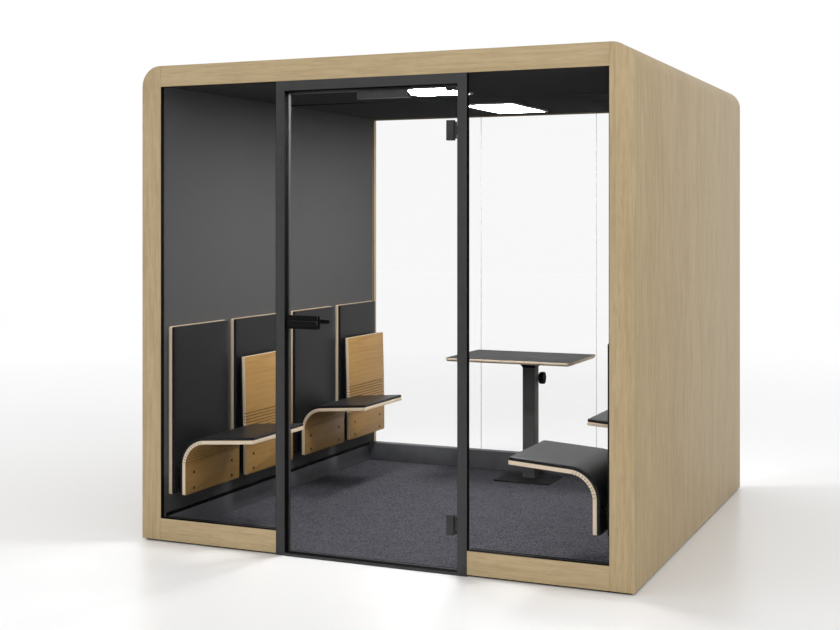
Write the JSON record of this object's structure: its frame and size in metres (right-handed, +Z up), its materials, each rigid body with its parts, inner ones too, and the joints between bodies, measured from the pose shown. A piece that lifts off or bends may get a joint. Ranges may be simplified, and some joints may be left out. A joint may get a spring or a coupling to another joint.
{
  "type": "acoustic office pod",
  "caption": "Walk-in acoustic meeting pod with an oak shell, glazed ends, a hinged glass door, plywood seats that fold down from the side walls and a height-adjustable table.",
  "frame": {"origin": "on the ground, below the middle of the oak shell", "axes": "+Z up, +Y from the door to the rear glazing, +X to the right as seen from outside the door"},
  "size_m": [2.41, 2.4293, 2.27],
  "materials": {
    "oak_wall": "matt",
    "oak_rail": "matt",
    "felt": "felt",
    "carpet": "loop pile",
    "plinth": "matt",
    "glass": "clear",
    "frame_metal": "fine texture",
    "hardware_metal": "satin",
    "lock_metal": "satin",
    "diffuser": "opal",
    "table_board": "matt laminate",
    "table_metal": "fine texture",
    "knob_plastic": "matt",
    "plywood": "oiled"
  },
  "bodies": {
    "pod": {"left_wall": "oak_wall", "right_wall": "oak_wall", "roof": "oak_rail", "front_rail_left": "oak_rail", "front_rail_right": "oak_rail", "rear_rail": "oak_rail", "left_lining": "felt", "right_lining": "felt", "ceiling_lining": "felt", "carpet": "carpet", "floor_plate": "plinth", "front_glass_left": "glass", "front_glass_right": "glass", "rear_glass_1": "glass", "rear_glass_2": "glass", "rear_glass_3": "glass", "door_frame": "frame_metal", "hinge_top_bracket": "hardware_metal", "hinge_bottom_bracket": "hardware_metal", "closer_bracket": "hardware_metal", "light_front": "diffuser", "light_rear": "diffuser", "table_column": "table_metal", "seat_left_1_back": "plywood", "seat_left_1_fold": "plywood", "seat_left_2_back": "plywood", "seat_left_2_fold": "plywood", "seat_left_3_back": "plywood", "seat_left_3_fold": "plywood", "seat_left_4_back": "plywood", "seat_left_4_fold": "plywood", "seat_right_1_back": "plywood", "seat_right_1_fold": "plywood", "seat_right_2_back": "plywood", "seat_right_2_fold": "plywood", "seat_right_3_back": "plywood", "seat_right_3_fold": "plywood", "seat_right_4_back": "plywood", "seat_right_4_fold": "plywood"},
    "door": {"door_glass": "glass", "hinge_top_clamp": "hardware_metal", "hinge_bottom_clamp": "hardware_metal", "lock_case": "lock_metal", "closer_body": "hardware_metal"},
    "lever": {"lever_handle": "lock_metal"},
    "latch": {"latch_bolt": "hardware_metal"},
    "closer_arm": {"closer_arm": "hardware_metal"},
    "closer_link": {"closer_link": "hardware_metal"},
    "table": {"table_top": "table_board", "table_post": "table_metal"},
    "knob": {"table_knob": "knob_plastic"},
    "seat_left_1": {"seat_left_1_board": "plywood"},
    "seat_left_2": {"seat_left_2_board": "plywood"},
    "seat_left_3": {"seat_left_3_board": "plywood"},
    "seat_left_4": {"seat_left_4_board": "plywood"},
    "seat_right_1": {"seat_right_1_board": "plywood"},
    "seat_right_2": {"seat_right_2_board": "plywood"},
    "seat_right_3": {"seat_right_3_board": "plywood"},
    "seat_right_4": {"seat_right_4_board": "plywood"}
  },
  "joints": [
    {"name": "door_swing", "type": "hinge", "parent": "pod", "child": "door", "pos_m": [0.408, -1.166, 1], "axis": [0, 0, 1], "range_deg": [0, 95], "stiffness_Nm_per_rad": 12, "springref_deg": -11.46},
    {"name": "lever_turn", "type": "hinge", "parent": "door", "child": "lever", "pos_m": [-0.372, -1.166, 1.068], "axis": [0, 1, 0], "range_deg": [0, 40], "stiffness_Nm_per_rad": 1.5, "springref_deg": -22.92},
    {"name": "latch_slide", "type": "slide", "parent": "door", "child": "latch", "axis": [1, 0, 0], "range_m": [0, 0.01]},
    {"name": "closer_link_turn", "type": "hinge", "parent": "pod", "child": "closer_link", "pos_m": [0.358, -1.104, 2.105], "axis": [0, 0, 1], "range_deg": [0, 95]},
    {"name": "closer_arm_turn", "type": "hinge", "parent": "door", "child": "closer_arm", "pos_m": [0.161, -1.1467, 2.096], "axis": [0, 0, 1], "range_deg": [-95, 0]},
    {"name": "seat_left_1_fold", "type": "hinge", "parent": "pod", "child": "seat_left_1", "pos_m": [-1.00196, -0.877, 0.45113], "axis": [0, -1, 0], "range_deg": [0, 87.5], "deforming": ["seat_left_1_fold"]},
    {"name": "seat_left_2_fold", "type": "hinge", "parent": "pod", "child": "seat_left_2", "pos_m": [-1.00196, -0.315, 0.45113], "axis": [0, 1, 0], "range_deg": [0, 87.5], "deforming": ["seat_left_2_fold"]},
    {"name": "seat_left_3_fold", "type": "hinge", "parent": "pod", "child": "seat_left_3", "pos_m": [-1.00196, 0.315, 0.45113], "axis": [0, -1, 0], "range_deg": [0, 87.5], "deforming": ["seat_left_3_fold"]},
    {"name": "seat_left_4_fold", "type": "hinge", "parent": "pod", "child": "seat_left_4", "pos_m": [-1.00196, 0.877, 0.45113], "axis": [0, 1, 0], "range_deg": [0, 87.5], "deforming": ["seat_left_4_fold"]},
    {"name": "seat_right_1_fold", "type": "hinge", "parent": "pod", "child": "seat_right_1", "pos_m": [1.00196, -0.877, 0.45113], "axis": [0, 1, 0], "range_deg": [0, 87.5], "deforming": ["seat_right_1_fold"]},
    {"name": "seat_right_2_fold", "type": "hinge", "parent": "pod", "child": "seat_right_2", "pos_m": [1.00196, -0.315, 0.45113], "axis": [0, -1, 0], "range_deg": [0, 87.5], "deforming": ["seat_right_2_fold"]},
    {"name": "seat_right_3_fold", "type": "hinge", "parent": "pod", "child": "seat_right_3", "pos_m": [1.00196, 0.315, 0.45113], "axis": [0, 1, 0], "range_deg": [0, 87.5], "deforming": ["seat_right_3_fold"]},
    {"name": "seat_right_4_fold", "type": "hinge", "parent": "pod", "child": "seat_right_4", "pos_m": [1.00196, 0.877, 0.45113], "axis": [0, -1, 0], "range_deg": [0, 87.5], "deforming": ["seat_right_4_fold"]},
    {"name": "table_lift", "type": "slide", "parent": "pod", "child": "table", "axis": [0, 0, 1], "range_m": [0, 0.35]},
    {"name": "knob_turn", "type": "hinge", "parent": "pod", "child": "knob", "pos_m": [0.077, 1.0175, 0.5965], "axis": [1, 0, 0], "range_deg": [0, 270]}
  ],
  "couplings": [
    {"joint": "closer_link_turn", "follows": "door_swing", "ratio": 1},
    {"joint": "closer_arm_turn", "follows": "door_swing", "ratio": -1},
    {"joint": "latch_slide", "follows": "lever_turn", "m_per_rad": 0.0143}
  ]
}
